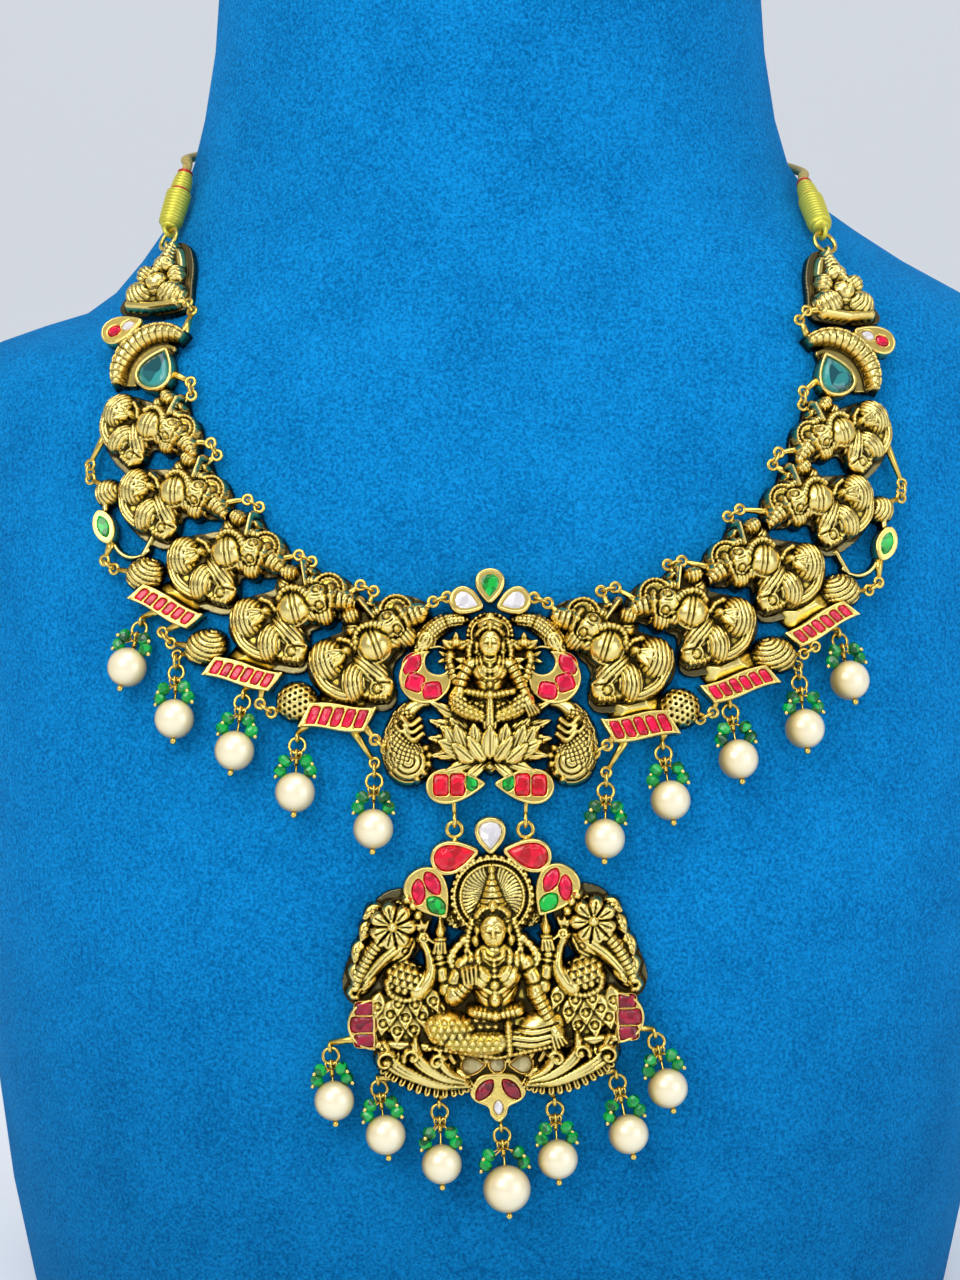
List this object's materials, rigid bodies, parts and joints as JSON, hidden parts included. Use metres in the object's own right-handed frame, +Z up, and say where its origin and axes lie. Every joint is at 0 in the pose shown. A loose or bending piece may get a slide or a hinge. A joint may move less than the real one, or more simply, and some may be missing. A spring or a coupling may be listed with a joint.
{
  "type": "kundan necklace on a neck bust",
  "caption": "Antique-gold kundan necklace of linked figure plaques with a swinging goddess pendant, stones, pearls and green beads, laid on a blue velvet neck bust.",
  "frame": {"origin": "on the base of the bust, under the middle of the whole part's bounding box", "axes": "+Z up, -Y towards the front that shows the necklace, +X to the viewer's right"},
  "size_m": [0.246, 0.1754, 0.35],
  "materials": {
    "velvet": "royal blue velvet with a fine pile",
    "cord": "gold thread cord",
    "zari": "lime-yellow metallic thread, wound, with red bindings",
    "gold_wire": "bright polished gold-plated wire",
    "antique_gold": "antique gold plating with dark recesses and polished high points",
    "pearl": "cream pearl with a soft lustre",
    "green_glass": "faceted emerald green beads",
    "teal_stone": "teal cut stone",
    "green_stone": "green and pink stones on foil",
    "milky_stone": "milky white and green stones on foil",
    "clear_stone": "clear crystals",
    "ruby_stone": "pink-red stones on foil",
    "wine_stone": "wine red stones on foil"
  },
  "bodies": {
    "necklace": {"neck_bust": "velvet", "dori_cord": "cord", "dori_end_left": "zari", "dori_end_right": "zari", "end_ring_left": "gold_wire", "end_ring_right": "gold_wire", "end_plaque_left": "antique_gold", "end_plaque_right": "antique_gold", "paisley_plaque_left": "antique_gold", "paisley_plaque_right": "antique_gold", "ganesha_plaque_left_1": "antique_gold", "ganesha_plaque_left_2": "antique_gold", "ganesha_plaque_left_3": "antique_gold", "ganesha_plaque_left_4": "antique_gold", "ganesha_plaque_left_5": "antique_gold", "ganesha_plaque_right_1": "antique_gold", "ganesha_plaque_right_2": "antique_gold", "ganesha_plaque_right_3": "antique_gold", "ganesha_plaque_right_4": "antique_gold", "ganesha_plaque_right_5": "antique_gold", "centre_plaque": "antique_gold", "link_rings_left": "gold_wire", "link_rings_right": "gold_wire", "pearl_left_1": "pearl", "pearl_left_2": "pearl", "pearl_left_3": "pearl", "pearl_left_4": "pearl", "pearl_left_5": "pearl", "pearl_right_1": "pearl", "pearl_right_2": "pearl", "pearl_right_3": "pearl", "pearl_right_4": "pearl", "pearl_right_5": "pearl", "necklace_pearl_pins": "gold_wire", "necklace_drop_rings": "gold_wire", "necklace_green_beads": "green_glass", "teal_stone_left": "teal_stone", "teal_stone_right": "teal_stone", "leaf_stones_left": "green_stone", "leaf_stones_right": "green_stone", "bar_rubies_left": "ruby_stone", "bar_rubies_right": "ruby_stone", "centre_pear_stones": "milky_stone", "centre_crescent_rubies": "ruby_stone", "centre_paisley_stones": "ruby_stone"},
    "pendant": {"pendant_plaque": "antique_gold", "pendant_pearl_1": "pearl", "pendant_pearl_2": "pearl", "pendant_pearl_3": "pearl", "pendant_pearl_4": "pearl", "pendant_pearl_5": "pearl", "pendant_pearl_6": "pearl", "pendant_pearl_7": "pearl", "pendant_pearl_pins": "gold_wire", "pendant_drop_rings": "gold_wire", "pendant_green_beads": "green_glass", "pendant_top_stones": "ruby_stone", "pendant_side_stones": "wine_stone", "pendant_bow_crystals": "clear_stone", "pendant_base_stones": "wine_stone"}
  },
  "joints": [
    {"name": "pendant_swing", "type": "hinge", "parent": "necklace", "child": "pendant", "pos_m": [0, -0.07382, 0.1209], "axis": [-1, 0, 0], "range_deg": [0, 100]}
  ]
}
